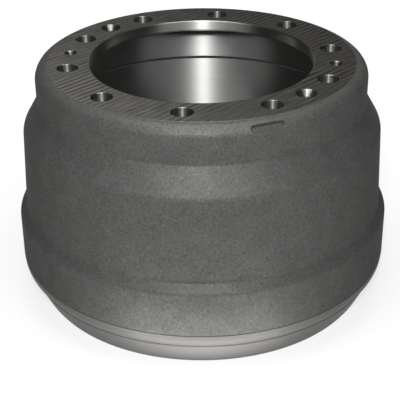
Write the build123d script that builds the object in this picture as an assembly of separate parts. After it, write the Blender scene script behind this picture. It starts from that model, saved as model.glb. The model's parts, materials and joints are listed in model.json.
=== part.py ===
from build123d import *
import os

# Brake drum for a heavy vehicle wheel end: one grey-iron casting.
# Millimetres. The origin is on the drum's axis, in the plane of the open rim,
# and +Z points out through the mounting flange.

# Friction surface and the rest of the turned inside
FRICTION_DIAMETER = 410.0
FRICTION_WIDTH = 225.0
MOUTH_CHAMFER = 2.0
RELIEF_CUT = 1.5
RELIEF_WIDTH = 7.0
LAND_WIDTH = 38.0
LAND_EDGE_CHAMFER = 1.0
CAST_STEP = 0.8

# Mounting flange and its pilot bore
FLANGE_THICKNESS = 15.0
FLANGE_ROOT_RADIUS = 14.0
FLANGE_ROOT_MARGIN = 5.0
PILOT_DIAMETER = 281.0
PILOT_LEAD_IN = 1.0
PILOT_BACK_CHAMFER = 3.0

# Stud holes, and the jacking and fixing holes midway between two of them
STUD_COUNT = 10
FIRST_STUD_ANGLE = 90.0
STUD_HOLE_DIAMETER = 26.0
STUD_HOLE_MARGIN = 14.0
STUD_HOLE_CHAMFER = 0.8
PAIR_COUNT = 2
JACKING_PITCHES = 2.5
JACKING_DIAMETER = 14.0
JACKING_CHAMFER = 1.6
FIXING_PITCHES = 1.5
FIXING_DIAMETER = 13.5
FIXING_HEAD_DIAMETER = 26.5

# Hub wall under the flange
FACE_MARGIN = 12.5
HUB_CORNER_RADIUS = 15.0
HUB_WALL = 13.0
HUB_DEPTH = 46.5

# Cast pocket in the corner between the flange face and the hub wall
POCKET_ANGLE = 297.0
POCKET_LENGTH = 38.0
POCKET_DEPTH = 5.5
POCKET_SETBACK = 3.5
POCKET_CORNER_RADIUS = 6.0

# Walls outside the friction surface, from the hub down to the open rim
SHOULDER_HEIGHT = 33.5
BARREL_TOP_WALL = 22.5
BARREL_TOP_RADIUS = 18.0
BARREL_BOTTOM_WALL = 26.6
RING_BEVEL_HEIGHT = 10.0
RING_WALL = 35.6
RING_TOP_RADIUS = 7.0
RING_HEIGHT = 57.0
TURNED_STEP = 0.5
TURNED_HEIGHT = 9.5
TURNED_RADIUS = 14.0
TURNED_BEVEL_HEIGHT = 10.8
SKIRT_TOP_WALL = 27.2
SKIRT_HEIGHT = 26.7
SKIRT_BOTTOM_WALL = 15.0
RIM_HEIGHT = 6.5
RIM_WALL = 10.5

# Radii and heights that follow from the sizes above
FRICTION_RADIUS = FRICTION_DIAMETER / 2
PILOT_RADIUS = PILOT_DIAMETER / 2
BOLT_CIRCLE = PILOT_DIAMETER + 2 * STUD_HOLE_MARGIN + STUD_HOLE_DIAMETER
FACE_RADIUS = (BOLT_CIRCLE + STUD_HOLE_DIAMETER) / 2 + FACE_MARGIN
HUB_RADIUS = FACE_RADIUS + HUB_CORNER_RADIUS
LAND_RADIUS = HUB_RADIUS - HUB_WALL
FRICTION_TOP = MOUTH_CHAMFER + FRICTION_WIDTH
RELIEF_TOP = FRICTION_TOP + RELIEF_WIDTH
LAND_TOP = RELIEF_TOP + LAND_WIDTH
FLANGE_BACK = LAND_TOP + FLANGE_ROOT_MARGIN + FLANGE_ROOT_RADIUS
FACE = FLANGE_BACK + FLANGE_THICKNESS


def outside_corners():
    """Corners of the outer half section, from the open rim up: radius, height, rounding."""
    skirt = RIM_HEIGHT + SKIRT_HEIGHT
    turned = skirt + TURNED_BEVEL_HEIGHT
    ring = turned + TURNED_HEIGHT
    ring_top = ring + RING_HEIGHT
    hub = FACE - HUB_DEPTH
    return [
        (FRICTION_RADIUS + RIM_WALL, 0, 0),
        (FRICTION_RADIUS + SKIRT_BOTTOM_WALL, RIM_HEIGHT, 0),
        (FRICTION_RADIUS + SKIRT_TOP_WALL, skirt, 0),
        (FRICTION_RADIUS + RING_WALL - TURNED_STEP, turned, TURNED_RADIUS),
        (FRICTION_RADIUS + RING_WALL - TURNED_STEP, ring, 0),
        (FRICTION_RADIUS + RING_WALL, ring, 0),
        (FRICTION_RADIUS + RING_WALL, ring_top, RING_TOP_RADIUS),
        (FRICTION_RADIUS + BARREL_BOTTOM_WALL, ring_top + RING_BEVEL_HEIGHT, 0),
        (FRICTION_RADIUS + BARREL_TOP_WALL, hub - SHOULDER_HEIGHT, BARREL_TOP_RADIUS),
        (HUB_RADIUS, hub, 0),
        (HUB_RADIUS, FACE, HUB_CORNER_RADIUS),
    ]


def inside_corners():
    """Corners of the inner half section, from the flange face down: radius, height, rounding."""
    return [
        (PILOT_RADIUS + PILOT_LEAD_IN, FACE, 0),
        (PILOT_RADIUS, FACE - PILOT_LEAD_IN, 0),
        (PILOT_RADIUS, FLANGE_BACK + PILOT_BACK_CHAMFER, 0),
        (PILOT_RADIUS + PILOT_BACK_CHAMFER, FLANGE_BACK, 0),
        (LAND_RADIUS + CAST_STEP, FLANGE_BACK, FLANGE_ROOT_RADIUS),
        (LAND_RADIUS + CAST_STEP, LAND_TOP + CAST_STEP, 0),
        (LAND_RADIUS, LAND_TOP, 0),
        (LAND_RADIUS, RELIEF_TOP + LAND_EDGE_CHAMFER, 0),
        (LAND_RADIUS + LAND_EDGE_CHAMFER, RELIEF_TOP, 0),
        (FRICTION_RADIUS + RELIEF_CUT, RELIEF_TOP, 0),
        (FRICTION_RADIUS + RELIEF_CUT, FRICTION_TOP + RELIEF_CUT, 0),
        (FRICTION_RADIUS, FRICTION_TOP, 0),
        (FRICTION_RADIUS, MOUTH_CHAMFER, 0),
        (FRICTION_RADIUS + MOUTH_CHAMFER, 0, 0),
    ]


def casting():
    """The drum turned about its axis, with no holes."""
    corners = outside_corners() + inside_corners()
    points = [(radius, height) for radius, height, _ in corners]
    outline = FilletPolyline(*points, radius=[rounding for *_, rounding in corners], close=True)
    return revolve(make_face(Plane.XZ * outline), Axis.Z)


def flange_holes(count, first_angle, diameter, mouth_diameter):
    """Through holes on the bolt circle, each with a 90 degree cone at its mouth."""
    hole = CounterSinkHole(diameter / 2, mouth_diameter / 2, 2 * FLANGE_THICKNESS, 90)
    places = PolarLocations(BOLT_CIRCLE / 2, count, start_angle=first_angle)
    return Location((0, 0, FACE)) * places * hole


def stud_holes():
    """The ring of stud holes, with their edges broken."""
    mouth = STUD_HOLE_DIAMETER + 2 * STUD_HOLE_CHAMFER
    return flange_holes(STUD_COUNT, FIRST_STUD_ANGLE, STUD_HOLE_DIAMETER, mouth)


def jacking_holes():
    """The two holes for the screws that push the drum off its hub."""
    angle = FIRST_STUD_ANGLE + JACKING_PITCHES * 360 / STUD_COUNT
    mouth = JACKING_DIAMETER + 2 * JACKING_CHAMFER
    return flange_holes(PAIR_COUNT, angle, JACKING_DIAMETER, mouth)


def fixing_holes():
    """The two countersunk holes for the screws that hold the drum with the wheel off."""
    angle = FIRST_STUD_ANGLE + FIXING_PITCHES * 360 / STUD_COUNT
    return flange_holes(PAIR_COUNT, angle, FIXING_DIAMETER, FIXING_HEAD_DIAMETER)


def pocket():
    """A slot with round inner corners, cut down into the hub corner and open to the outside."""
    back = FACE_RADIUS + POCKET_SETBACK
    reach = HUB_RADIUS + POCKET_CORNER_RADIUS - back
    slot = Rectangle(reach, POCKET_LENGTH, align=(Align.MIN, Align.CENTER))
    slot = fillet(slot.vertices().group_by(Axis.X)[0], POCKET_CORNER_RADIUS)
    floor = Location((back, 0, FACE - POCKET_DEPTH))
    return Rotation(0, 0, POCKET_ANGLE) * floor * extrude(slot, 2 * POCKET_DEPTH)


def brake_drum():
    """The finished casting."""
    return casting() - stud_holes() - jacking_holes() - fixing_holes() - pocket()


os.makedirs("parts", exist_ok=True)
export_step(brake_drum(), "parts/brake_drum.step")
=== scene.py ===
# A heavy vehicle brake drum: a grey-iron casting, turned inside, milled across
# its flange and drilled for the wheel studs, standing on its open rim.

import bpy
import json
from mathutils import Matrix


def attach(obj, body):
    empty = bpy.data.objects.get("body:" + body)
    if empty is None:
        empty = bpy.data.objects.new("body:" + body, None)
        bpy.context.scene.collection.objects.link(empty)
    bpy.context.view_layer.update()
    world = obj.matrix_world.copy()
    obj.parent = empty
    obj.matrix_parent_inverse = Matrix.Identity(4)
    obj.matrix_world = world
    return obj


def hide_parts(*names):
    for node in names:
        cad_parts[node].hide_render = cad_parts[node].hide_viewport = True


bl_info = {
    "name": "Brake Drum",
    "version": (1, 0, 0),
    "blender": (4, 5, 0),
    "location": "3D View > Sidebar > Brake Drum",
    "description": "Turns, drills and finishes a brake drum, and lights it on a pale floor",
    "category": "Add Mesh",
}

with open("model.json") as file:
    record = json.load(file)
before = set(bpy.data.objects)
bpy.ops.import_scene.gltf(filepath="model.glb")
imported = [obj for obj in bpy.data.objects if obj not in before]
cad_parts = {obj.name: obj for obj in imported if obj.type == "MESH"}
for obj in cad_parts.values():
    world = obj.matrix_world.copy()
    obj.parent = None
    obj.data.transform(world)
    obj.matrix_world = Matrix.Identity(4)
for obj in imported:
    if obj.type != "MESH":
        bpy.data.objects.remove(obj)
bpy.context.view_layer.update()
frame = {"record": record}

import json
from math import atan2, cos, degrees, hypot, pi, radians, sin, tan

import bmesh
import bpy
from bpy.props import FloatProperty, FloatVectorProperty, IntProperty, PointerProperty
from mathutils import Matrix, Vector

MOUNTS = {mount["name"]: mount for mount in frame["record"]["mounts"]}

DRUM = "brake_drum_casting"
# The map that follows the tool's path over each surface
LAY = "lay"
# Where each finish stands in the drum's list of materials
CAST, MILLED, TURNED, DRILLED, FACED = range(5)

# Points closer than this are one, in the drawn section and once it is spun
SAME_POINT = 1e-6
SAME_SPUN_POINT = 1e-5
# How far off a level, an edge or a hole the middle of a face still counts as on it
AT_LEVEL = 1e-5
AT_EDGE = 1e-4
AT_HOLE = 2e-4
# A face lies level where the upright part of its normal is more than this
LEVEL = 0.9
# Each facet of a rounding turns by about this much, in degrees
FACET = 7
# Edges that turn by less than this, in degrees, are shaded smooth
SMOOTH = 32
# How far a drill reaches past the flange, on both sides
OVERRUN = 0.004
# Run and rise of the bevel over the skirt, for each unit along it
BEVEL_RUN, BEVEL_RISE = 0.6, 0.8


def mount_size(name, size):
    """A size of a packed mount, in metres."""
    return MOUNTS[name]["dims"][size] / 1000


def mount_angle(name):
    """The angle of a packed mount about the drum's axis."""
    x, y, _ = MOUNTS[name]["pos_m"]
    return atan2(y, x)


def srgb(text):
    """Linear red, green and blue of an sRGB hex value."""
    parts = [int(text[i:i + 2], 16) / 255 for i in (1, 3, 5)]
    return [c / 12.92 if c <= 0.04045 else ((c + 0.055) / 1.055) ** 2.4 for c in parts]


def length(name, description, default):
    """A length property in metres, shown in the scene's own unit."""
    return FloatProperty(
        name=name, description=description, default=default, unit="LENGTH", precision=5
    )


def angle(name, description, default):
    """An angle property in radians, shown in degrees."""
    return FloatProperty(
        name=name, description=description, default=default, subtype="ANGLE"
    )


def watts(name, description, default):
    """The power of a lamp."""
    return FloatProperty(name=name, description=description, default=default, unit="POWER")


def colour(name, description, default):
    """A colour property, whose default is given as an sRGB hex value."""
    return FloatVectorProperty(
        name=name, description=description, default=srgb(default), subtype="COLOR",
        min=0, max=1,
    )


class DrumInside(bpy.types.PropertyGroup):
    """Sizes of the turned inside and of the flange."""

    friction_radius: length(
        "Friction radius", "Radius of the wall that the shoes rub",
        mount_size("friction_surface", "r_mm"),
    )
    friction_width: length(
        "Friction width", "Height of the wall that the shoes rub",
        mount_size("friction_surface", "length_mm"),
    )
    mouth_chamfer: length("Mouth chamfer", "Chamfer at the open rim's inner edge", 0.002)
    relief_cut: length("Relief cut", "How deep the tool's run-out groove is", 0.0015)
    relief_width: length("Relief width", "How high the tool's run-out groove is", 0.007)
    land_width: length("Land width", "Height of the turned wall above the groove", 0.038)
    land_chamfer: length("Land chamfer", "Chamfer at the land's lower edge", 0.001)
    cast_step: length("Cast step", "Step from the land out to the cast wall", 0.0008)
    root_margin: length("Root margin", "Cast wall between the land and the root", 0.005)
    root_radius: length("Root radius", "Fillet between the wall and the flange", 0.014)
    flange: length("Flange thickness", "Thickness of the flange", 0.015)
    pilot_radius: length(
        "Pilot radius", "Radius of the bore that centres the drum",
        mount_size("pilot_bore", "r_mm"),
    )
    pilot_lead_in: length("Pilot lead-in", "Chamfer at the bore's outer edge", 0.001)
    pilot_back: length("Pilot back chamfer", "Chamfer at the bore's inner edge", 0.003)


class DrumOutside(bpy.types.PropertyGroup):
    """Sizes of the outside. Below the shoulder, walls are measured from the friction wall."""

    rim_wall: length("Rim wall", "Wall at the open rim", 0.0105)
    rim_height: length("Rim height", "Height of the bevel at the open rim", 0.0065)
    rim_edge: length("Rim edge", "Rounding of the open rim's outer edge", 0.0015)
    skirt_bottom: length("Skirt wall below", "Wall at the skirt's lower edge", 0.015)
    skirt_round: length("Skirt rounding", "Rounding of the skirt's lower edge", 0.004)
    skirt_top: length("Skirt wall above", "Wall at the skirt's upper edge", 0.0272)
    skirt_height: length("Skirt height", "Height of the skirt", 0.0267)
    bevel_height: length("Turned bevel height", "Height of the bevel under the band", 0.0108)
    band_height: length("Turned band height", "Height of the turned band", 0.0095)
    band_round: length("Turned band rounding", "Rounding under the turned band", 0.014)
    band_step: length("Turned band step", "How far the band is cut into the ring", 0.0005)
    undercut: length("Undercut", "Height of the grooves where the turning tool stops", 0.0015)
    ring_wall: length("Ring wall", "Wall at the thick ring", 0.0355)
    ring_height: length("Ring height", "Height of the thick ring", 0.057)
    ring_round: length("Ring rounding", "Rounding of the ring's upper edge", 0.007)
    ring_bevel: length("Ring bevel height", "Height of the bevel above the ring", 0.010)
    barrel_bottom: length("Barrel wall below", "Wall at the barrel's lower edge", 0.0266)
    barrel_root: length("Barrel root", "Fillet between the barrel and the ring", 0.003)
    barrel_top: length("Barrel wall above", "Wall at the barrel's upper edge", 0.0225)
    barrel_round: length("Barrel rounding", "Rounding of the barrel's upper edge", 0.018)
    shoulder: length("Shoulder height", "Height of the sloping shoulder", 0.0335)
    hub_root: length("Hub root", "Fillet between the shoulder and the hub wall", 0.005)
    hub_wall: length("Hub wall", "Wall at the hub, outside the turned land", 0.013)
    hub_depth: length("Hub depth", "Height of the hub wall, up to the face", 0.0465)
    hub_corner: length("Hub corner", "Rounding between the hub wall and the face", 0.015)
    face_margin: length("Face margin", "Face outside the stud holes", 0.0125)
    cut_edge: length("Milled edge", "How far the cast corner lies under the face", 0.0005)


class DrumHoles(bpy.types.PropertyGroup):
    """Sizes of the holes and of the cast pocket."""

    circle: length(
        "Bolt circle radius", "Radius of the circle that the holes stand on",
        mount_size("stud_holes", "pcd_mm") / 2,
    )
    stud_count: IntProperty(
        name="Stud holes", description="How many stud holes there are",
        default=MOUNTS["stud_holes"]["dims"]["count"],
    )
    stud_angle: angle("First stud", "Angle of the first stud hole", radians(90))
    stud_radius: length(
        "Stud hole radius", "Radius of a stud hole", mount_size("stud_holes", "hole_r_mm")
    )
    stud_break: length("Stud hole edge", "How far a stud hole's edge is broken", 0.0004)
    jacking_radius: length(
        "Jacking hole radius", "Radius of the two jacking holes",
        mount_size("jacking_hole_right", "r_mm"),
    )
    jacking_break: length("Jacking hole edge", "How far a jacking hole's edge is broken", 0.001)
    fixing_radius: length(
        "Fixing hole radius", "Radius of the two screw holes",
        mount_size("fixing_hole_front", "r_mm"),
    )
    fixing_head: length("Screw head", "Radius of the cone for the screw's head", 0.01325)
    pocket_angle: angle("Pocket angle", "Angle of the cast pocket", radians(298.7))
    pocket_length: length("Pocket length", "Length of the cast pocket's floor", 0.0385)
    pocket_width: length("Pocket width", "Width of the cast pocket's floor", 0.0045)
    pocket_depth: length("Pocket depth", "Depth of the cast pocket", 0.0045)
    pocket_slope: length("Pocket slope", "How far the pocket's sides slope outwards", 0.003)
    pocket_lean: angle("Pocket lean", "How far round the corner the pocket lies", radians(54))


class DrumFinish(bpy.types.PropertyGroup):
    """Colours and tool marks."""

    cast_colour: colour("Cast skin", "Shot-blasted grey iron", "#5c5c5b")
    face_colour: colour("Milled face", "Grey iron under the face cutter", "#7b7974")
    bore_colour: colour("Turned bore", "Grey iron under the lathe tool", "#b5b5b3")
    hole_colour: colour("Drilled holes", "Grey iron under the drill", "#8c8c8a")
    band_colour: colour("Turned band", "Grey iron faced outside", "#696866")
    feed_angle: angle("Feed direction", "Which way the face cutter travelled", radians(53.5))
    feed_pitch: length("Feed marks", "From one drawn cutter mark to the next", 0.00825)
    steps: IntProperty(name="Steps round", description="Faces round the drum", default=240)


class DrumStage(bpy.types.PropertyGroup):
    """The camera, the floor and the light."""

    heading: angle("Camera heading", "Turn of the camera about the drum", radians(7.7))
    tilt: angle("Camera tilt", "How far the camera looks down", radians(28.484))
    roll: angle("Camera roll", "Turn of the camera about its view", radians(-0.56))
    across: length("Camera across", "How far the camera stands to the right", -0.0035)
    rise: length("Camera rise", "How far the camera stands above its line of sight", -0.17746)
    distance: length("Camera distance", "From the camera to the flange face", 1.3593)
    lens: FloatProperty(
        name="Lens", description="Focal length on a 36 mm sensor", default=97.84, unit="CAMERA"
    )
    floor_colour: colour("Floor", "Matt paint of the floor", "#868686")
    floor_reach: length("Floor reach", "How far the floor goes out from the drum's axis", 8)
    room: FloatProperty(name="Room", description="Light from all round", default=0.04)
    overhead: watts("Overhead box", "Soft box high over the drum", 8.5)
    crown: watts("Crown box", "Small box close over the front edge", 0.65)
    key: watts("Key box", "Small box just over the camera", 12.0)
    front: watts("Front box", "Broad box behind the camera", 36.0)
    rear: watts("Rear card", "Card behind the left side of the drum", 1.4)
    bounce: watts("Floor bounce", "Light that the floor in front sends back", 0.21)
    glow: watts("Skirt glow", "Light from the floor close under the skirt", 0.09)


# Each lamp's width and height, its azimuth from the camera's side in degrees, its
# distance from the drum's axis and its height, and those of the point that it faces
LAMPS = {
    "overhead": ((0.9, 0.15), 0, (0.05, 1.5), (0, 0.2)),
    "crown": ((0.25, 0.15), -6, (0.34, 0.66), (0.2, 0.25)),
    "key": ((0.09, 0.11), -1.7, (1.25, 1.0), (0, 0.25)),
    "front": ((6.6, 0.5), -3, (2.6, 1.72), (0, 0.25)),
    "rear": ((0.5, 0.3), -172, (0.7, 1.7), (0, 0.306)),
    "bounce": ((0.34, 0.03), -2, (0.3, 0.02), (0.1, 0.2)),
    "glow": ((0.24, 0.03), 0, (0.25, 0.003), (0.235, 0.1)),
}


def add_node(owner, kind, settings=None, inputs=None):
    """Adds a node with its settings, and its inputs as values or as links from sockets."""
    tree = owner.node_tree
    node = tree.nodes.new(kind)
    for name, value in (settings or {}).items():
        setattr(node, name, value)
    for name, value in (inputs or {}).items():
        if isinstance(value, bpy.types.NodeSocket):
            tree.links.new(value, node.inputs[name])
        else:
            node.inputs[name].default_value = value
    return node


def new_material(name):
    """An empty node material and its output."""
    material = bpy.data.materials.new(name)
    material.use_nodes = True
    material.node_tree.nodes.clear()
    output = add_node(material, "ShaderNodeOutputMaterial")
    return material, output.inputs["Surface"]


def show(material, shader, surface):
    """Links a shader to the material's surface."""
    material.node_tree.links.new(shader.outputs[0], surface)


def cast_iron_skin(finish):
    """Grey iron as sand cast and shot blasted: a dull, even, pitted skin, softly mottled."""
    material, surface = new_material("shot_blasted_cast_iron")
    place = add_node(material, "ShaderNodeTexCoord").outputs["Object"]
    # The mould's sand leaves pits well under 1 mm across, too fine to show, so they are
    # drawn about 2.6 mm across
    grain = add_node(
        material, "ShaderNodeTexNoise", {},
        {"Vector": place, "Scale": 1 / 0.0026, "Detail": 3, "Roughness": 0.65},
    )
    # Shot blasting wears the skin unevenly, in spots about 22 mm across
    mottle = add_node(
        material, "ShaderNodeTexNoise", {},
        {"Vector": place, "Scale": 1 / 0.022, "Detail": 3, "Roughness": 0.55},
    )
    shade = add_node(
        material, "ShaderNodeMapRange", {},
        {
            "Value": mottle.outputs["Fac"], "From Min": 0.3, "From Max": 0.7,
            "To Min": 0.92, "To Max": 1.08,
        },
    )
    speckle = add_node(
        material, "ShaderNodeMapRange", {},
        {
            "Value": grain.outputs["Fac"], "From Min": 0.3, "From Max": 0.7,
            "To Min": 0.72, "To Max": 1.28,
        },
    )
    both = add_node(
        material, "ShaderNodeMath", {"operation": "MULTIPLY"},
        {0: shade.outputs[0], 1: speckle.outputs[0]},
    )
    tone = add_node(
        material, "ShaderNodeVectorMath", {"operation": "SCALE"},
        {"Vector": finish.cast_colour, "Scale": both.outputs[0]},
    )
    bump = add_node(
        material, "ShaderNodeBump", {},
        {"Height": grain.outputs["Fac"], "Strength": 0.5, "Distance": 0.0004},
    )
    # Half metal: the shot leaves bare iron on the high spots and scale in the pits
    shader = add_node(
        material, "ShaderNodeBsdfPrincipled", {},
        {
            "Base Color": tone.outputs[0], "Metallic": 0.5, "Roughness": 0.56,
            "Specular IOR Level": 0.01, "Specular Tint": (0.3, 0.3, 0.3, 1),
            "Normal": bump.outputs[0],
        },
    )
    show(material, shader, surface)
    return material


def tool_marks(material, along, across, detail=2.0):
    """Noise drawn out along the tool's path: its size along and across it, in metres."""
    lay = add_node(material, "ShaderNodeUVMap", {"uv_map": LAY}).outputs[0]
    stretch = add_node(
        material, "ShaderNodeMapping", {},
        {"Vector": lay, "Scale": (1 / along, 1 / across, 1)},
    )
    return add_node(
        material, "ShaderNodeTexNoise", {},
        {"Vector": stretch.outputs[0], "Scale": 1, "Detail": detail, "Roughness": 0.6},
    ).outputs["Fac"]


def milled_iron(finish):
    """Grey iron under a face cutter: straight ridges with a dull sheen across them."""
    material, surface = new_material("milled_cast_iron")
    lay = add_node(material, "ShaderNodeUVMap", {"uv_map": LAY}).outputs[0]
    # The cutter's marks are 1 to 2 mm apart, too fine to show, so they are drawn a feed
    # pitch apart, each wandering a little, with scratches 2.1 mm apart between them
    wander = tool_marks(material, 0.09, 0.011)
    rows = add_node(material, "ShaderNodeSeparateXYZ", {}, {"Vector": lay}).outputs["Y"]
    bend = add_node(
        material, "ShaderNodeMath", {"operation": "MULTIPLY_ADD"},
        {0: wander, 1: 0.0045, 2: rows},
    )
    turns = add_node(
        material, "ShaderNodeMath", {"operation": "MULTIPLY"},
        {0: bend.outputs[0], 1: 2 * pi / finish.feed_pitch},
    )
    ridge = add_node(material, "ShaderNodeMath", {"operation": "SINE"}, {0: turns.outputs[0]})
    # The cutter bites unevenly, so that its marks are deep in places and all but gone in others
    patches = add_node(
        material, "ShaderNodeMapRange", {},
        {
            "Value": tool_marks(material, 0.16, 0.07), "From Min": 0.4, "From Max": 0.62,
            "To Min": 0.15, "To Max": 1.5,
        },
    )
    uneven = add_node(
        material, "ShaderNodeMath", {"operation": "MULTIPLY"},
        {0: ridge.outputs[0], 1: patches.outputs[0]},
    )
    scratches = tool_marks(material, 0.03, 0.0021, 4)
    relief = add_node(
        material, "ShaderNodeMath", {"operation": "MULTIPLY_ADD"},
        {0: scratches, 1: 6.0, 2: uneven.outputs[0]},
    )
    bump = add_node(
        material, "ShaderNodeBump", {},
        {"Height": relief.outputs[0], "Strength": 1, "Distance": 0.00005},
    )
    shade = add_node(
        material, "ShaderNodeMapRange", {},
        {
            "Value": relief.outputs[0], "From Min": 1.5, "From Max": 4.5,
            "To Min": 0.45, "To Max": 1.55,
        },
    )
    tone = add_node(
        material, "ShaderNodeVectorMath", {"operation": "SCALE"},
        {"Vector": finish.face_colour, "Scale": shade.outputs[0]},
    )
    tangent = add_node(
        material, "ShaderNodeTangent", {"direction_type": "UV_MAP", "uv_map": LAY}
    )
    shader = add_node(
        material, "ShaderNodeBsdfPrincipled", {},
        {
            "Base Color": tone.outputs[0], "Metallic": 1, "Roughness": 0.6,
            "Specular Tint": (0.5, 0.5, 0.5, 1),
            "Anisotropic": 0.6, "Anisotropic Rotation": 0.25,
            "Normal": bump.outputs[0], "Tangent": tangent.outputs[0],
        },
    )
    show(material, shader, surface)
    return material


def turned_iron(name, base, metallic, roughness, anisotropy):
    """Grey iron under a lathe tool or drill: fine grooves that draw each highlight out."""
    material, surface = new_material(name)
    # A feed of 0.3 mm is too fine to show, so the marks are drawn about 1 mm apart
    fine = tool_marks(material, 0.12, 0.001, 3)
    broad = tool_marks(material, 0.3, 0.009)
    streak = add_node(
        material, "ShaderNodeMapRange", {},
        {
            "Value": broad, "From Min": 0.3, "From Max": 0.7,
            "To Min": roughness - 0.02, "To Max": roughness + 0.02,
        },
    )
    shade = add_node(
        material, "ShaderNodeMapRange", {},
        {"Value": fine, "From Min": 0.3, "From Max": 0.7, "To Min": 0.93, "To Max": 1.07},
    )
    tone = add_node(
        material, "ShaderNodeVectorMath", {"operation": "SCALE"},
        {"Vector": base, "Scale": shade.outputs[0]},
    )
    bump = add_node(
        material, "ShaderNodeBump", {},
        {"Height": fine, "Strength": 0.3, "Distance": 0.00005},
    )
    tangent = add_node(
        material, "ShaderNodeTangent", {"direction_type": "UV_MAP", "uv_map": LAY}
    )
    shader = add_node(
        material, "ShaderNodeBsdfPrincipled", {},
        {
            "Base Color": tone.outputs[0], "Metallic": metallic, "Roughness": streak.outputs[0],
            "Specular Tint": (0.35, 0.35, 0.35, 1),
            "Anisotropic": anisotropy, "Anisotropic Rotation": 0.25,
            "Normal": bump.outputs[0], "Tangent": tangent.outputs[0],
        },
    )
    show(material, shader, surface)
    return material


def only(obj):
    """Deselects everything else and makes this object active."""
    bpy.ops.object.select_all(action="DESELECT")
    obj.select_set(True)
    bpy.context.view_layer.objects.active = obj


def pick(obj, kind, test):
    """In edit mode, selects just the vertices, edges or faces that pass the test."""
    mesh = bmesh.from_edit_mesh(obj.data)
    bpy.ops.mesh.select_mode(type=kind)
    bpy.ops.mesh.select_all(action="DESELECT")
    items = {"VERT": mesh.verts, "EDGE": mesh.edges, "FACE": mesh.faces}[kind]
    for item in items:
        if test(item):
            item.select_set(True)
    mesh.select_flush_mode()
    bmesh.update_edit_mesh(obj.data)


def height_levels(inside, outside):
    """Heights above the open rim where the section changes, by name."""
    skirt = outside.rim_height + outside.skirt_height
    turned = skirt + outside.bevel_height
    ring = turned + outside.band_height
    friction_top = inside.mouth_chamfer + inside.friction_width
    relief_top = friction_top + inside.relief_width
    land_top = relief_top + inside.land_width
    flange_back = land_top + inside.root_margin + inside.root_radius
    return {
        "skirt": skirt,
        "turned": turned,
        "ring": ring,
        "ring_top": ring + outside.ring_height,
        "friction_top": friction_top,
        "relief_top": relief_top,
        "land_top": land_top,
        "flange_back": flange_back,
        "face": flange_back + inside.flange,
    }


def face_radius(outside, holes):
    """Radius of the milled face's outer edge."""
    return holes.circle + holes.stud_radius + outside.face_margin


def section_corners(inside, outside, holes):
    """Corners of the half section, round from the open rim: radius, height, rounding."""
    at = height_levels(inside, outside)
    wall = inside.friction_radius
    skirt_top = wall + outside.skirt_top
    ring = wall + outside.ring_wall
    band = ring - outside.band_step
    edge = face_radius(outside, holes)
    hub = edge + outside.hub_corner
    hub_bottom = at["face"] - outside.hub_depth
    cast_top = at["face"] - outside.cut_edge
    land = hub - outside.hub_wall
    undercut = outside.undercut
    outer = [
        (wall + outside.rim_wall, 0, outside.rim_edge),
        (wall + outside.skirt_bottom, outside.rim_height, outside.skirt_round),
        (skirt_top, at["skirt"] - undercut, 0),
        (skirt_top - undercut, at["skirt"], 0),
        (skirt_top + BEVEL_RUN * undercut, at["skirt"] + BEVEL_RISE * undercut, 0),
        (band, at["turned"], outside.band_round),
        (band, at["ring"] - undercut, 0),
        (band - 2 * undercut, at["ring"] - undercut / 2, 0),
        (band - 2 * undercut, at["ring"], 0),
        (ring, at["ring"], 0),
        (ring, at["ring_top"], outside.ring_round),
        (wall + outside.barrel_bottom, at["ring_top"] + outside.ring_bevel, outside.barrel_root),
        (wall + outside.barrel_top, hub_bottom - outside.shoulder, outside.barrel_round),
        (hub, hub_bottom, outside.hub_root),
        (hub, cast_top, outside.hub_corner),
        (edge, cast_top, 0),
        (edge - outside.cut_edge / 2, at["face"], 0),
    ]
    inner = [
        (inside.pilot_radius + inside.pilot_lead_in, at["face"], 0),
        (inside.pilot_radius, at["face"] - inside.pilot_lead_in, 0),
        (inside.pilot_radius, at["flange_back"] + inside.pilot_back, 0),
        (inside.pilot_radius + inside.pilot_back, at["flange_back"], 0),
        (land + inside.cast_step, at["flange_back"], inside.root_radius),
        (land + inside.cast_step, at["land_top"] + inside.cast_step, 0),
        (land, at["land_top"], 0),
        (land, at["relief_top"] + inside.land_chamfer, 0),
        (land + inside.land_chamfer, at["relief_top"], 0),
        (wall + inside.relief_cut, at["relief_top"], 0),
        (wall + inside.relief_cut, at["friction_top"] + inside.relief_cut, 0),
        (wall, at["friction_top"], 0),
        (wall, inside.mouth_chamfer, 0),
        (wall + inside.mouth_chamfer, 0, 0),
    ]
    return outer + inner


def draw_section(corners):
    """Pulls a point from corner to corner of the section, then rounds its corners."""
    bpy.ops.object.select_all(action="DESELECT")
    bpy.ops.mesh.primitive_plane_add()
    section = bpy.context.object
    bpy.ops.object.mode_set(mode="EDIT")
    bpy.ops.mesh.select_all(action="SELECT")
    bpy.ops.mesh.merge(type="CENTER")
    bpy.ops.transform.translate(value=(corners[0][0], 0, corners[0][1]))
    for (r0, h0, _), (r1, h1, _) in zip(corners, corners[1:] + corners[:1]):
        bpy.ops.mesh.extrude_region_move(
            TRANSFORM_OT_translate={"value": (r1 - r0, 0, h1 - h0)}
        )
    bpy.ops.mesh.select_all(action="SELECT")
    bpy.ops.mesh.remove_doubles(threshold=SAME_POINT)

    points = [Vector((radius, 0, height)) for radius, height, _ in corners]
    for i, (here, (_, _, rounding)) in enumerate(zip(points, corners)):
        if rounding > 0:
            after = points[(i + 1) % len(points)]
            turn = pi - (points[i - 1] - here).angle(after - here)
            pick(section, "VERT", lambda v: (v.co - here).length < SAME_POINT)
            bpy.ops.mesh.bevel(
                affect="VERTICES", offset=rounding * tan(turn / 2), clamp_overlap=False,
                segments=max(3, round(degrees(turn) / FACET)),
            )
    return section


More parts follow.
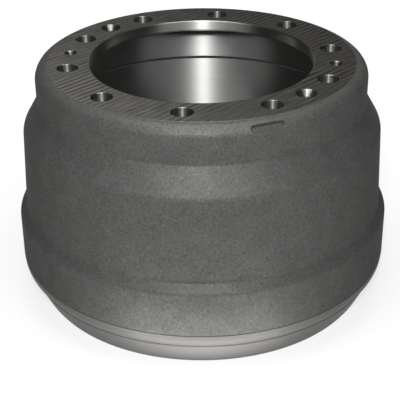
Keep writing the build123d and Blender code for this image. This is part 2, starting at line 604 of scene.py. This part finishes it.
def spin_round(steps):
    """Spins the drawn section, still in edit mode, all the way round the Z axis."""
    bpy.ops.mesh.select_all(action="SELECT")
    # Half a step on, so that a flat, and no corner, faces along each axis
    bpy.ops.transform.rotate(value=pi / steps, orient_axis="Z", center_override=(0, 0, 0))
    bpy.ops.mesh.spin(steps=steps, angle=2 * pi, center=(0, 0, 0), axis=(0, 0, 1))
    bpy.ops.mesh.select_all(action="SELECT")
    bpy.ops.mesh.remove_doubles(threshold=SAME_SPUN_POINT)
    bpy.ops.mesh.normals_make_consistent(inside=False)
    bpy.ops.object.mode_set(mode="OBJECT")


def drill(radius, mouth, bottom, face, sides):
    """A drill with a 90 degree cone above it, standing at the centre."""
    bpy.ops.object.select_all(action="DESELECT")
    cone = mouth - radius
    straight = face - cone - bottom
    bpy.ops.mesh.primitive_cylinder_add(
        vertices=sides, radius=radius, depth=straight, location=(0, 0, bottom + straight / 2)
    )
    tool = bpy.context.object
    bpy.ops.object.transform_apply(location=True)
    bpy.ops.object.mode_set(mode="EDIT")
    pick(tool, "FACE", lambda f: f.normal.z > LEVEL)
    bpy.ops.mesh.extrude_region_move(TRANSFORM_OT_translate={"value": (0, 0, cone)})
    bpy.ops.transform.resize(value=(mouth / radius, mouth / radius, 1))
    bpy.ops.mesh.extrude_region_move(TRANSFORM_OT_translate={"value": (0, 0, OVERRUN)})
    bpy.ops.object.mode_set(mode="OBJECT")
    return tool


def at_places(tool, circle, angles):
    """Copies of a tool on the bolt circle, joined into one."""
    copies = []
    for place in angles:
        copy = tool.copy()
        copy.data = tool.data.copy()
        copy.data.transform(Matrix.Rotation(place, 4, "Z") @ Matrix.Translation((circle, 0, 0)))
        bpy.context.collection.objects.link(copy)
        copies.append(copy)
    bpy.data.objects.remove(tool)
    bpy.ops.object.select_all(action="DESELECT")
    for copy in copies:
        copy.select_set(True)
    bpy.context.view_layer.objects.active = copies[0]
    bpy.ops.object.join()
    return bpy.context.object


def cut(obj, tool):
    """Cuts the tool's shape out of the object and removes the tool."""
    only(obj)
    modifier = obj.modifiers.new("cut", "BOOLEAN")
    modifier.operation = "DIFFERENCE"
    modifier.solver = "EXACT"
    modifier.object = tool
    bpy.ops.object.modifier_apply(modifier=modifier.name)
    bpy.data.objects.remove(tool)


def pocket_tool(outside, holes, face):
    """The core that leaves the pocket: a pad with round ends and sloping sides."""
    bpy.ops.object.select_all(action="DESELECT")
    bpy.ops.mesh.primitive_cube_add(size=1)
    tool = bpy.context.object
    tool.scale = (holes.pocket_width, holes.pocket_length, holes.pocket_depth)
    bpy.ops.object.transform_apply(scale=True)
    bpy.ops.object.mode_set(mode="EDIT")
    pick(tool, "EDGE", lambda e: abs(e.verts[0].co.z - e.verts[1].co.z) > SAME_POINT)
    # Just under half the width, so that the roundings of an end don't meet
    end_round = holes.pocket_width * 0.48
    bpy.ops.mesh.bevel(affect="EDGES", offset=end_round, segments=6, clamp_overlap=False)
    pick(tool, "FACE", lambda f: f.normal.z > LEVEL)
    spread = 2 * holes.pocket_slope
    bpy.ops.transform.resize(
        value=(1 + spread / holes.pocket_width, 1 + spread / holes.pocket_length, 1)
    )
    bpy.ops.mesh.extrude_region_move(
        TRANSFORM_OT_translate={"value": (0, 0, holes.pocket_depth)}
    )
    bpy.ops.object.mode_set(mode="OBJECT")

    # Let into the corner's rounding, square to it where the pocket lies
    corner = outside.hub_corner
    middle = Vector((face_radius(outside, holes), 0, face - outside.cut_edge - corner))
    outwards = Vector((sin(holes.pocket_lean), 0, cos(holes.pocket_lean)))
    place = middle + outwards * (corner - holes.pocket_depth / 2)
    tool.data.transform(
        Matrix.Rotation(holes.pocket_angle, 4, "Z")
        @ Matrix.Translation(place)
        @ Matrix.Rotation(holes.pocket_lean, 4, "Y")
    )
    return tool


def hole_kinds(holes):
    """Each kind of hole: its radius, its mouth's radius, its sides and its angles."""
    studs = [holes.stud_angle + i * 2 * pi / holes.stud_count for i in range(holes.stud_count)]
    jacks = [mount_angle("jacking_hole_right"), mount_angle("jacking_hole_left")]
    screws = [mount_angle("fixing_hole_back"), mount_angle("fixing_hole_front")]
    return [
        (holes.stud_radius, holes.stud_radius + holes.stud_break, 48, studs),
        (holes.jacking_radius, holes.jacking_radius + holes.jacking_break, 40, jacks),
        (holes.fixing_radius, holes.fixing_head, 48, screws),
    ]


def hole_places(holes):
    """Where all holes stand: x, y and the radius at the mouth."""
    return [
        (holes.circle * cos(a), holes.circle * sin(a), mouth)
        for _, mouth, _, angles in hole_kinds(holes)
        for a in angles
    ]


def finish_of(centre, normal, at, inside, outside, places):
    """Which finish a face has, by where it lies on the drum."""
    radius = hypot(centre.x, centre.y)
    in_hole = any(hypot(centre.x - x, centre.y - y) < r + AT_HOLE for x, y, r in places)
    if in_hole and centre.z > at["flange_back"] - AT_EDGE and abs(normal.z) < LEVEL:
        return DRILLED
    if centre.z > at["face"] - AT_LEVEL:
        return MILLED
    if radius < inside.pilot_radius + inside.pilot_back + AT_EDGE:
        return TURNED
    milled_edge = centre.z > at["face"] - outside.cut_edge - AT_LEVEL
    if milled_edge or abs(centre.z - at["flange_back"]) < AT_LEVEL:
        return FACED
    if radius < inside.friction_radius + inside.mouth_chamfer + AT_EDGE:
        # The run-out groove takes the dull cast finish, which stands in for the shade under the
        # land's ledge, a painted shade
        if at["friction_top"] < centre.z < at["relief_top"] - AT_LEVEL:
            return CAST
        if centre.z < at["land_top"] + inside.cast_step:
            return TURNED
    if centre.z < at["ring"] + AT_LEVEL:
        return FACED
    return CAST


def set_finishes(obj, inside, outside, holes, finish):
    """Gives each face its finish, and lays a map along the tool's path on it."""
    at = height_levels(inside, outside)
    places = hole_places(holes)
    mesh = obj.data
    lay = mesh.uv_layers.new(name=LAY)
    feed = Vector((cos(finish.feed_angle), sin(finish.feed_angle)))
    for face in mesh.polygons:
        kind = finish_of(face.center, face.normal, at, inside, outside, places)
        face.material_index = kind
        # A drill turns about its own hole, and the lathe about the drum
        axis = Vector((0, 0))
        if kind == DRILLED:
            axis = min(
                (Vector((x, y)) for x, y, _ in places),
                key=lambda hole: (hole - face.center.xy).length,
            )
        middle = face.center.xy - axis
        for loop in face.loop_indices:
            point = mesh.vertices[mesh.loops[loop].vertex_index].co
            if kind == MILLED:
                lay.data[loop].uv = (point.xy.dot(feed), feed.cross(point.xy))
                continue
            arm = point.xy - axis
            around = atan2(middle.y, middle.x) - middle.angle_signed(arm, 0)
            across = point.z if abs(face.normal.z) < LEVEL else arm.length
            lay.data[loop].uv = (around * middle.length, across)


class BRAKEDRUM_OT_casting(bpy.types.Operator):
    """Spins the drum's section, drills its flange and gives each surface its finish"""

    bl_idname = "brakedrum.casting"
    bl_label = "Brake Drum Casting"

    def execute(self, context):
        scene = context.scene
        inside, outside = scene.drum_inside, scene.drum_outside
        holes, finish = scene.drum_holes, scene.drum_finish
        at = height_levels(inside, outside)
        drum = draw_section(section_corners(inside, outside, holes))
        drum.name = DRUM
        drum.data.name = DRUM
        spin_round(finish.steps)
        for radius, mouth, sides, angles in hole_kinds(holes):
            tool = drill(radius, mouth, at["flange_back"] - OVERRUN, at["face"], sides)
            cut(drum, at_places(tool, holes.circle, angles))
        cut(drum, pocket_tool(outside, holes, at["face"]))
        only(drum)
        bpy.ops.object.shade_smooth_by_angle(angle=radians(SMOOTH))
        drum.data.materials.clear()
        for material in (
            cast_iron_skin(finish),
            milled_iron(finish),
            turned_iron(
                "turned_cast_iron", finish.bore_colour,
                metallic=1, roughness=0.46, anisotropy=1.0,
            ),
            turned_iron(
                "drilled_cast_iron", finish.hole_colour,
                metallic=1, roughness=0.4, anisotropy=0.9,
            ),
            turned_iron(
                "faced_cast_iron", finish.band_colour,
                metallic=0.25, roughness=0.5, anisotropy=0.4,
            ),
        ):
            drum.data.materials.append(material)
        set_finishes(drum, inside, outside, holes, finish)
        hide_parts("brake_drum")
        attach(drum, "root")
        return {"FINISHED"}


def seen_white(owner):
    """1 for rays that show a background: from the camera, a mirror or through glass."""
    path = add_node(owner, "ShaderNodeLightPath")
    first = add_node(
        owner, "ShaderNodeMath", {"operation": "MAXIMUM"},
        {0: path.outputs["Is Camera Ray"], 1: path.outputs["Is Glossy Ray"]},
    )
    return add_node(
        owner, "ShaderNodeMath", {"operation": "MAXIMUM"},
        {0: first.outputs[0], 1: path.outputs["Is Transmission Ray"]},
    ).outputs[0]


def pale_floor(stage, inside, outside):
    """Matt pale paint: a floor that shows white and keeps the drum's shadow, with a painted
    shadow that dims it round and under the drum.
    """
    material, surface = new_material("matt_white_floor")
    place = add_node(material, "ShaderNodeTexCoord").outputs["Object"]
    away = add_node(material, "ShaderNodeVectorMath", {"operation": "LENGTH"}, {0: place})
    # 0 inside the drum's foot and 1 outside it: under the drum the floor's white is left out, a
    # painted shade
    open_floor = add_node(
        material, "ShaderNodeMapRange", {"interpolation_type": "SMOOTHSTEP"},
        {
            "Value": away.outputs["Value"],
            "From Min": inside.friction_radius + inside.mouth_chamfer,
            "From Max": inside.friction_radius + outside.rim_wall,
            "To Min": 0, "To Max": 1,
        },
    )
    # The floor's white is dimmer close round the drum, a painted shadow, and rises further off,
    # where less lamp light falls, so that the floor's own white makes up for it there
    level = add_node(
        material, "ShaderNodeMapRange", {},
        {
            "Value": away.outputs["Value"], "From Min": 0.21, "From Max": 0.8,
            "To Min": 0.76, "To Max": 0.98,
        },
    )
    white = add_node(
        material, "ShaderNodeMath", {"operation": "MULTIPLY"},
        {0: open_floor.outputs[0], 1: level.outputs[0]},
    )
    strength = add_node(
        material, "ShaderNodeMath", {"operation": "MULTIPLY"},
        {0: seen_white(material), 1: white.outputs[0]},
    )
    glow = add_node(
        material, "ShaderNodeEmission", {},
        {"Color": (1, 1, 1, 1), "Strength": strength.outputs[0]},
    )
    # Painted shade: the floor's paint is darker under the drum, so that no floor light comes up
    # inside it
    painted_shade_under_drum = add_node(
        material, "ShaderNodeMapRange", {},
        {"Value": open_floor.outputs[0], "To Min": 0.3, "To Max": 1},
    )
    paint = add_node(
        material, "ShaderNodeVectorMath", {"operation": "SCALE"},
        {"Vector": stage.floor_colour, "Scale": painted_shade_under_drum.outputs[0]},
    )
    diffuse = add_node(material, "ShaderNodeBsdfDiffuse", {}, {"Color": paint.outputs[0]})
    shader = add_node(
        material, "ShaderNodeAddShader", {}, {0: diffuse.outputs[0], 1: glow.outputs[0]}
    )
    show(material, shader, surface)
    return material


def backdrop(world, heading):
    """How much of the white backdrop behind the drum a ray meets, straight or by a mirror."""
    path = add_node(world, "ShaderNodeLightPath")
    way = add_node(world, "ShaderNodeTexCoord").outputs["Object"]
    # Leans down towards the floor, so that a mirror looking up meets the dim ceiling
    centre = (-0.8 * sin(heading), 0.8 * cos(heading), -0.6)
    facing = add_node(
        world, "ShaderNodeVectorMath", {"operation": "DOT_PRODUCT"}, {0: way, 1: centre}
    )
    behind = add_node(
        world, "ShaderNodeMapRange", {"interpolation_type": "SMOOTHSTEP"},
        {
            "Value": facing.outputs["Value"], "From Min": 0.45, "From Max": 0.75,
            "To Min": 0, "To Max": 1,
        },
    )
    open_view = add_node(
        world, "ShaderNodeMath", {"operation": "MAXIMUM"},
        {0: path.outputs["Is Camera Ray"], 1: behind.outputs[0]},
    )
    return add_node(
        world, "ShaderNodeMath", {"operation": "MULTIPLY"},
        {0: seen_white(world), 1: open_view.outputs[0]},
    ).outputs[0]


def studio_room(stage):
    """The room: dim light from all round, and a white backdrop that only shows."""
    world = bpy.data.worlds.new("studio_room")
    world.use_nodes = True
    world.node_tree.nodes.clear()
    room = add_node(
        world, "ShaderNodeBackground", {}, {"Color": (1, 1, 1, 1), "Strength": stage.room}
    )
    white = add_node(world, "ShaderNodeBackground", {}, {"Color": (1, 1, 1, 1), "Strength": 1})
    mix = add_node(
        world, "ShaderNodeMixShader", {},
        {0: backdrop(world, stage.heading), 1: room.outputs[0], 2: white.outputs[0]},
    )
    output = add_node(world, "ShaderNodeOutputWorld")
    world.node_tree.links.new(mix.outputs[0], output.inputs["Surface"])
    return world


def seen_from(turn, reach, height):
    """A place at a distance from the drum's axis and a height, turned from its front."""
    return Vector((reach * sin(turn), -reach * cos(turn), height))


def lamp(name, power, size, place, target):
    """A soft rectangular lamp, facing its target, that the camera doesn't see."""
    data = bpy.data.lights.new(name, "AREA")
    data.shape = "RECTANGLE"
    data.size, data.size_y = size
    data.energy = power
    obj = bpy.data.objects.new(name, data)
    bpy.context.collection.objects.link(obj)
    obj.location = place
    obj.rotation_euler = (target - place).to_track_quat("-Z", "Y").to_euler()
    obj.visible_camera = False


def stand_camera(stage, face):
    """A camera that looks down on the middle of the flange face, at the given height."""
    data = bpy.data.cameras.new("camera")
    data.lens = stage.lens
    data.sensor_width = 36
    camera = bpy.data.objects.new("camera", data)
    bpy.context.collection.objects.link(camera)
    turn = Matrix.Rotation(stage.heading, 4, "Z")
    tilt = Matrix.Rotation(pi / 2 - stage.tilt, 4, "X")
    offset = Matrix.Translation((stage.across, stage.rise, stage.distance))
    roll = Matrix.Rotation(stage.roll, 4, "Z")
    camera.matrix_world = Matrix.Translation((0, 0, face)) @ turn @ tilt @ offset @ roll
    return camera


class BRAKEDRUM_OT_stage(bpy.types.Operator):
    """Lays a pale floor and sets the lamps, the room's light and the camera"""

    bl_idname = "brakedrum.stage"
    bl_label = "Pale Studio Stage"

    def execute(self, context):
        scene = context.scene
        stage, inside, outside = scene.drum_stage, scene.drum_inside, scene.drum_outside
        bpy.ops.object.select_all(action="DESELECT")
        # A hair under the rim, so that the two don't share a plane
        bpy.ops.mesh.primitive_circle_add(
            vertices=96, radius=stage.floor_reach, fill_type="NGON", location=(0, 0, -0.0001)
        )
        floor = context.object
        floor.name = "floor"
        bpy.ops.object.transform_apply(location=True)
        floor.data.materials.append(pale_floor(stage, inside, outside))

        scene.world = studio_room(stage)
        for name, (size, azimuth, place, aim) in LAMPS.items():
            turn = stage.heading + radians(azimuth)
            power = getattr(stage, name)
            lamp(name, power, size, seen_from(turn, *place), seen_from(turn, *aim))
        scene.camera = stand_camera(stage, height_levels(inside, outside)["face"])
        scene.view_settings.view_transform = "Standard"
        return {"FINISHED"}


class BRAKEDRUM_PT_panel(bpy.types.Panel):
    """Sizes, finishes and buttons for the drum and its stage"""

    bl_idname = "BRAKEDRUM_PT_panel"
    bl_label = "Brake Drum"
    bl_space_type = "VIEW_3D"
    bl_region_type = "UI"
    bl_category = "Brake Drum"

    def draw(self, context):
        layout = self.layout
        for operator in OPERATORS:
            layout.operator(operator.bl_idname)
        for name, group in GROUPS.items():
            box = layout.box()
            box.label(text=group.__doc__)
            for prop in group.__annotations__:
                box.prop(getattr(context.scene, name), prop)


GROUPS = {
    "drum_inside": DrumInside,
    "drum_outside": DrumOutside,
    "drum_holes": DrumHoles,
    "drum_finish": DrumFinish,
    "drum_stage": DrumStage,
}
OPERATORS = (BRAKEDRUM_OT_casting, BRAKEDRUM_OT_stage)


def register():
    """Registers the properties, the operators and the panel."""
    for name, group in GROUPS.items():
        bpy.utils.register_class(group)
        setattr(bpy.types.Scene, name, PointerProperty(type=group))
    for operator in OPERATORS:
        bpy.utils.register_class(operator)
    bpy.utils.register_class(BRAKEDRUM_PT_panel)


def unregister():
    """Takes the panel, the operators and the properties away again."""
    bpy.utils.unregister_class(BRAKEDRUM_PT_panel)
    for operator in reversed(OPERATORS):
        bpy.utils.unregister_class(operator)
    for name, group in GROUPS.items():
        delattr(bpy.types.Scene, name)
        bpy.utils.unregister_class(group)


def main():
    """Makes the drum and its stage."""
    register()
    bpy.ops.brakedrum.casting()
    bpy.ops.brakedrum.stage()
    bpy.context.view_layer.update()


if __name__ == "__main__":
    main()
